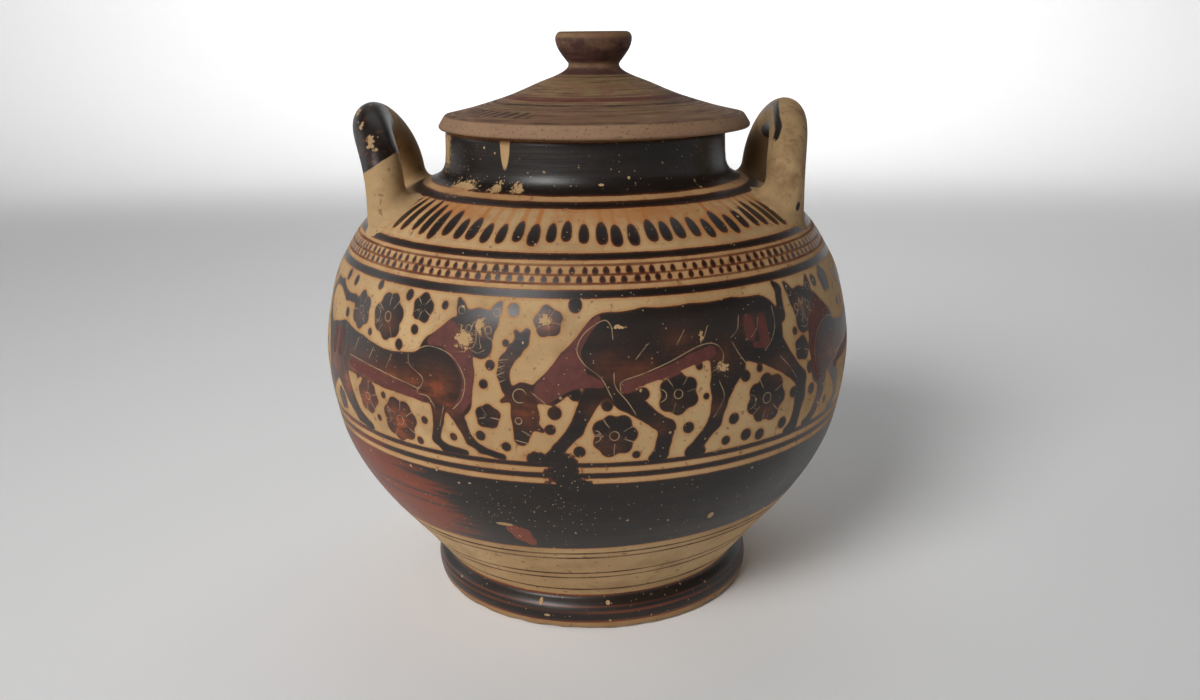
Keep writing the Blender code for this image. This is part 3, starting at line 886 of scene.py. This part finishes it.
ring_count = np.arange(len(profile))
outermost = (ring_count >= np.argmax(profile[:, 0] > 60.3)) & (
    ring_count <= np.flatnonzero((profile[:, 0] > 51.5) & (profile[:, 1] > 170))[-1]
)
layer = vessel.data.attributes.new("outer", "FLOAT", "POINT")
layer.data.foreach_set("value", np.repeat(outermost.astype(float), [len(r) for r in rings]))

# The map that the colours are baked through. The front takes the most of the picture, and the
# back, the inside and the underside share the rest. Each has a box (left, right, bottom, top)
# in it, laid out by the angle and by the way along the profile.
FRONT_BOX = (0.01, 0.99, 0.345, 0.99)
BACK_BOX = (0.01, 0.49, 0.01, 0.325)
INSIDE_BOX = (0.51, 0.99, 0.14, 0.325)
UNDERSIDE_BOX = (0.51, 0.99, 0.01, 0.12)
length = np.append(0, np.cumsum(np.hypot(*np.diff(profile, axis=0).T)))
first, last = np.flatnonzero(outermost)[[0, -1]]
corner = np.empty(len(vessel.data.loops), int)
vessel.data.loops.foreach_get("vertex_index", corner)
corner = corner.reshape(-1, 3)
on_ring = np.repeat(ring_count, [len(r) for r in rings])[corner]
pole = (on_ring == 0) | (on_ring == len(profile) - 1)
angle = np.where(pole, np.roll(turn[corner], 1, axis=1), turn[corner])
angle = angle[:, :1] + (angle - angle[:, :1] + np.pi) % (2 * np.pi) - np.pi
angle -= 2 * np.pi * np.round(angle.mean(axis=1, keepdims=True) / (2 * np.pi))
middle = angle.mean(axis=1, keepdims=True)
lowest, highest = on_ring.min(axis=1), on_ring.max(axis=1)
outside_face = (lowest >= first) & (highest <= last)
behind = abs(middle[:, 0]) > np.pi / 2
from_back = angle - np.sign(middle) * np.pi
uv = np.empty((*corner.shape, 2))
for here, seen, half, start, end, (left, right, bottom, top) in (
    (outside_face & ~behind, angle, np.pi / 2, first, last, FRONT_BOX),
    (outside_face & behind, from_back, np.pi / 2, first, last, BACK_BOX),
    (highest > last, angle, np.pi, last, len(profile) - 1, INSIDE_BOX),
    (lowest < first, angle, np.pi, 0, first, UNDERSIDE_BOX),
):
    along = (length[on_ring[here]] - length[start]) / (length[end] - length[start])
    uv[here, :, 0] = left + (right - left) * (seen[here] + half) / (2 * half)
    uv[here, :, 1] = bottom + (top - bottom) * along
layer = vessel.data.uv_layers.new(name="OFBake")
layer.data.foreach_set("uv", uv.ravel())
vessel.data.materials.append(material)
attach(vessel, "root")
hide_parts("vessel")

# The handles: two loops rolled from the same clay and pressed onto the shoulder while it was
# leather hard, with the joins smoothed by thumb. The left one keeps black slip on its top,
# and the right one is bare but for a few smears.
HALF_SPAN = 29.0
SPRING = 151.0
RISE = 27.3
ROOT = 134.0
RADIAL = 6.9
TANGENTIAL = 7.6
FILLET_INSIDE = 6.0
FILLET_OUTSIDE = 1.6
HANDLE_ROWS = 110
ROOT_ROWS = 16
HANDLE_COLUMNS = 48
# Where each one's feet stand, how far its top leans further out, and its turn about the axis.
HANDLES = {"left_handle": (71.2, 7.8, 181.5), "right_handle": (70.5, 4.6, 1.5)}
# Where slip was smeared on them, and where it has come off: each a line through points, and
# its radius. STAINED says how strongly the clay is stained. The table after it says how
# strongly the clay is darkened in patches: grime on both, and on the right handle a much
# stronger share that is painted shade, for the side that the lamps leave dark.
SMEARED = {
    "left_handle": (),
    "right_handle": (
        (((70.9, -1, 184.4), (69.6, -12.5, 180.7), (69.2, -20.6, 176.7), (68.1, -23, 173.4)), 1.4),
        (((69, -4, 175.5), (68.4, 9, 172)), 3),
        (((69, 1, 184), (68.6, 7, 181)), 1.8),
        (((76, -34, 152), (74, -33, 149)), 0.8),
    ),
}
WORN_OFF = {
    "left_handle": (
        (((-82.4, -11, 183.3), (-81.6, -13, 182)), 1.3),
        (((-79.6, -21.6, 180), (-79, -22, 178)), 0.9),
        (((-75.3, -28.5, 175.6), (-75, -30, 172.5)), 1.3),
        (((-72.8, -31, 171.4), (-72.4, -31, 169.6)), 0.8),
    ),
    "right_handle": (),
}
STAINED = {"left_handle": 0.3, "right_handle": 0.6}
GRIME_AND_SHADE_SHARE = {"left_handle": 0.25, "right_handle": 0.7}
shoulder = body[body[:, 1] > 98.5][::-1]


def above_shoulder(points):
    """How far points are above the shoulder, straight up, and the shoulder's slope there."""
    out = np.hypot(points[..., 0], points[..., 1])
    height = np.interp(out, shoulder[:, 0], shoulder[:, 1])
    further = np.interp(out + 0.5, shoulder[:, 0], shoulder[:, 1])
    return points[..., 2] - height, (height - further) / 0.5


def handle(name, feet, lean, azimuth):
    """An oval section carried along half of an ellipse that stands on straight roots, in a
    plane that leans out. Near the shoulder each point moves out from the section by a
    quarter round, so that the leg runs into the shoulder with a fillet."""
    turn = np.radians(azimuth)
    out = np.array([np.cos(turn), np.sin(turn), 0])
    along = np.array([-np.sin(turn), np.cos(turn), 0])
    arch = np.linspace(0, np.pi, HANDLE_ROWS)
    side = [HALF_SPAN] * ROOT_ROWS
    side = np.concatenate([side, HALF_SPAN * np.cos(arch), np.negative(side)])
    roots = np.linspace(ROOT, SPRING, ROOT_ROWS, endpoint=False)
    height = np.concatenate([roots, SPRING + RISE * np.sin(arch), roots[::-1]])
    rise = np.maximum((height - SPRING) / RISE, 0)
    centres = np.outer(feet + lean * rise**2.4, out)
    centres = centres + np.outer(side, along) + np.outer(height, [0, 0, 1])
    tangents = np.gradient(centres, axis=0)
    tangents /= np.linalg.norm(tangents, axis=1, keepdims=True)
    radial = out - tangents * (tangents @ out)[:, None]
    radial /= np.linalg.norm(radial, axis=1, keepdims=True)
    across = np.cross(tangents, radial)
    angles = np.linspace(0, 2 * np.pi, HANDLE_COLUMNS, endpoint=False)[None, :, None]
    spoke = radial[:, None] * RADIAL * np.cos(angles)
    spoke = spoke + across[:, None] * TANGENTIAL * np.sin(angles)
    points = centres[:, None] + spoke
    drop, slope = above_shoulder(points)
    fillet = FILLET_OUTSIDE + (FILLET_INSIDE - FILLET_OUTSIDE) * (
        0.5 - 0.5 * np.cos(angles[..., 0])
    )
    depth = drop / np.hypot(1, slope)
    near = np.clip(1 - depth / fillet, 0, 1)
    push = fillet * (1 - np.sqrt(1 - near**2))
    flat = spoke * [1, 1, 0]
    flat /= np.maximum(np.linalg.norm(flat, axis=-1, keepdims=True), 1e-6)
    points = points + flat * push[..., None]
    lifted, slope = above_shoulder(points)
    kept = np.maximum(depth, -0.6) * np.hypot(1, slope)
    points[..., 2] = np.where(near > 0, points[..., 2] - lifted + kept, points[..., 2])
    rows, columns = points.shape[:2]
    row, column = np.meshgrid(np.arange(rows - 1), np.arange(columns), indexing="ij")
    after = (column + 1) % columns
    quads = [row * columns + column, row * columns + after]
    quads += [(row + 1) * columns + after, (row + 1) * columns + column]
    faces = np.stack(quads, axis=-1).reshape(-1, 4)
    return finished(name, points.reshape(-1, 3) * MM, faces)


def from_line(place, points, radius):
    """How far outside a thick line through some points a point lies, in millimetres."""
    nearest = FAR
    for start, end in zip(points, points[1:]):
        reach = np.subtract(end, start)
        shift = {"operation": "SUBTRACT"}
        away = {0: place, 1: tuple(MM * c for c in start)}
        away = place.node("ShaderNodeVectorMath", shift, away)
        share = {0: away, 1: tuple(reach / (MM * reach @ reach))}
        share = place.node("ShaderNodeVectorMath", {"operation": "DOT_PRODUCT"}, share, 1)
        share = share.most(0).least(1)
        foot_point = {0: tuple(MM * reach), 3: share}
        foot_point = place.node("ShaderNodeVectorMath", {"operation": "SCALE"}, foot_point)
        away = place.node("ShaderNodeVectorMath", shift, {0: away, 1: foot_point})
        away = place.node("ShaderNodeVectorMath", {"operation": "LENGTH"}, {0: away}, 1)
        nearest = (away * 1000 - radius).least(nearest)
    return nearest


for name, (feet, lean, azimuth) in HANDLES.items():
    piece = handle(name, feet, lean, azimuth)
    material, shader, place = plain_material(name + "_clay", 0.7)
    clay, clay_height = bare_clay(place)
    x, y, z = place.parts()
    level = z * 1000
    ragged = (place.noise(9, 3) - 0.5) * 3 + (place.noise(2, 2) - 0.5) * 1.2
    if name == "left_handle":
        gap = 165.5 + (x * 1000 + 74) * 0.6 - level + ragged * 0.4
        gap = gap.most(y * 1000 + ragged * 1.5)
    else:
        gap = FAR
    for points, radius in SMEARED[name]:
        gap = (from_line(place, points, radius) + ragged * 0.4).least(gap)
    worn = chips(place, 2.6, 0.2)
    for points, radius in WORN_OFF[name]:
        rough = from_line(place, points, radius) + ragged * 0.5 + (place.noise(1.2, 2) - 0.5) * 3
        worn = rough.step(0.2, -0.1).most(worn)
    slip = gap.step(0.2, -0.2) * (1 - worn)
    stain = place.noise(11, 4, 0.65).step(0.5, 0.68) * STAINED[name]
    # Darkened patches: grime, and on the right handle mostly painted shade.
    clay = (place.noise(24, 4, 0.6).step(0.25, 0.6) * GRIME_AND_SHADE_SHARE[name]).between(clay, GRIME_AND_SHADE_BUFF)
    clay = stain.between(clay, BROWN_BUFF)
    tone = (place.noise(5, 3).step(0.35, 0.7) * 0.6).between(BLACK_SLIP, GREYED_SLIP)
    tone = (place.noise(4, 3, 0.6).step(0.55, 0.7) * 0.5).between(tone, BROWN_SLIP)
    wire(slip.between(clay, tone), shader.inputs["Base Color"])
    wire(0.76 - slip * 0.34 + (place.noise(6, 3) - 0.5) * 0.1, shader.inputs["Roughness"])
    relief = clay_height + slip * 0.03 + place.noise(5, 2) * 0.12
    wire(relief.bumped(), shader.inputs["Normal"])
    piece.data.materials.append(material)
    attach(piece, "root")
    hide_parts("vessel")

# The lid: a low cone with a spool-shaped knob, thrown in one piece. A ring below its rim sits
# inside the neck and keeps it from sliding off. It is banded in thin brown and red slip.
LID_OFF_CENTRE = 3.4
LID_SEAT = 176.2
LID_COLUMNS = 288
LID_UNDER = (
    (0, 13), (8, 12.6), (20, 9.9), (32, 5.7), (37.6, 3.2), (39.2, 2.0), (39.5, 0.6), (39.5, -4.6),
    (40.1, -5.3), (41.2, -5.5), (42.4, -5.4), (43.3, -4.8), (43.5, -3.6), (43.6, -0.4), (44.2, 0),
)
LID_RIM_EDGE = (
    (56.4, 0), (57.5, 0.2), (57.9, 0.8), (57.8, 1.5), (56.9, 3.0), (56.0, 4.4), (55.5, 4.95),
)
LID_CONE = (
    (55.5, 4.95), (54.2, 5.25), (45.5, 7.3), (31.8, 11.5), (20.6, 16.1), (14.6, 18.4),
    (10.9, 20.3), (9.5, 21.8), (9.5, 23), (11.2, 25.2), (13.2, 28.2), (14.1, 31.2),
    (13.9, 32.8), (13.2, 33.8), (12, 34.2), (8, 34.0), (0, 33.7),
)
LID_TAN = colour_of(120, 86, 62)
LID_OLIVE = colour_of(132, 106, 72)
LID_PALE = colour_of(150, 118, 92)
LID_PURPLE = colour_of(70, 40, 34)
LID_RED = colour_of(92, 42, 32)
LID_DARK = colour_of(44, 28, 22)
# Bands round the cone: their two distances from the middle, how strong and how patchy they
# are, and the colour.
LID_BANDS = (
    (10.2, 13.2, 0.8, 0.3, LID_PURPLE), (14.2, 15.0, 0.8, 0.6, LID_DARK),
    (17.3, 17.8, 0.6, 0.8, LID_DARK), (24.5, 25.0, 0.5, 0.9, LID_DARK),
    (30.3, 33.7, 0.9, 0.35, LID_RED), (36.4, 38.0, 0.85, 0.6, LID_DARK),
    (39.7, 40.2, 0.8, 0.3, LID_PURPLE), (41.6, 42.1, 0.7, 0.4, LID_PURPLE),
    (44, 55, 0.3, 1.0, LID_RED), (53.2, 55.6, 0.6, 0.8, LID_PURPLE),
)
LID_GROOVES = ((34.6, 34.9), (38.8, 39.0), (40.8, 41.0), (42.8, 43.1))
STROKE_PITCH = 0.1

under = evened(smooth_curve(LID_UNDER, 8), 1.4)
rim_edge = evened(smooth_curve(LID_RIM_EDGE, 6), 0.6)
cone = evened(smooth_curve(LID_CONE, 8), 0.9)
profile = np.vstack([under, rim_edge, cone[1:]])
rings = [full_turn(LID_COLUMNS)] * len(profile)
rings[0] = rings[-1] = full_turn(1)
lid, _ = thrown(
    "painted_lid", rings, profile[:, 0] * MM, (profile[:, 1] + LID_SEAT) * MM, LID_OFF_CENTRE * MM
)
material, shader, place = plain_material("lid_clay", 0.7)
x, y, z = place.parts()
level = z * 1000 - LID_SEAT
aside = x * 1000 - LID_OFF_CENTRE
out = x.maths("SQRT", aside * aside + y * y * 1e6)
angle = x.maths("ARCTAN2", aside, y * -1000)
ringed = place.node("ShaderNodeCombineXYZ", None, {0: x * 0.09, 1: y * 0.09, 2: out / 1000})
streaks = ringed.noise(1.5, 4, 0.65)
smear = place.noise(9, 4, 0.65)
top = level.step(4.4, 5.2)
wobble = (place.noise(10, 2) - 0.5) * 1.2 + (place.noise(2, 2) - 0.5) * 0.6


def lid_band(low, high, strength, patchy=0.5):
    """A band round the cone between two distances from the middle, laid on thinly, so that
    the clay shows through in patches."""
    band = (to_bands(out, ((low, high),)) + wobble * 0.4).step(0.3, -0.3) * top
    return band * strength * (1 - patchy + patchy * (smear * 0.6 + streaks * 0.4).step(0.42, 0.54))


colour = smear.step(0.35, 0.65).between(LID_TAN, LID_OLIVE)
colour = (streaks.step(0.48, 0.66) * 0.6).between(colour, LID_PURPLE)
colour = (streaks.step(0.44, 0.3) * 0.6).between(colour, LID_PALE)
for low, high, strength, patchy, tint in LID_BANDS:
    colour = lid_band(low, high, strength, patchy).between(colour, tint)
# Painted shade: the band from 28 to 38 mm out is laid darker, in purple, towards the lid's right
# side, which the lamps leave in shade.
right_side_shade = lid_band(28, 38, 0.7, 0.6) * aside.step(5, 38)
colour = right_side_shade.between(colour, LID_PURPLE)
stroke = angle / STROKE_PITCH + (out - 46) * 0.1 + wobble * 0.2
stroke = abs(stroke.maths("FRACT", stroke) - 0.5).step(0.3, 0.16) * angle.step(-0.42, -0.52)
stroke = stroke * angle.step(-1.4, -1.25)
stroke = stroke * (out + wobble).step(43.4, 44.2) * (out + wobble * 2).step(50, 48.5)
colour = (stroke * 0.9).between(colour, LID_DARK)
knob = level.step(18.8, 19.6) * level.step(32.6, 31.4)
waist = abs(level - 22.4).step(1.3, 0.5) * 0.7
knob = knob * (0.35 + 0.65 * (smear * 0.5 + streaks * 0.5).step(0.4, 0.54)) * (1 - waist)
colour = knob.between(colour, LID_PURPLE)
rim = level.step(5, 4.6) * level.step(-1, 0)
colour = (rim * 0.7).between(colour, LID_PALE)
pits = place.noise(1, 3, 0.7).step(0.56, 0.7) * (0.35 + rim * 0.35)
colour = pits.between(colour, LID_DARK)
wire(colour, shader.inputs["Base Color"])
wire(0.62 + smear * 0.2, shader.inputs["Roughness"])
grooves = to_bands(out, LID_GROOVES).step(0.6, -0.1) * top
relief = streaks * 0.12 + place.noise(0.9, 2) * 0.05 + smear * 0.1 - grooves * 0.22
wire(relief.bumped(), shader.inputs["Normal"])
lid.data.materials.append(material)
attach(lid, "root")
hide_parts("lid")
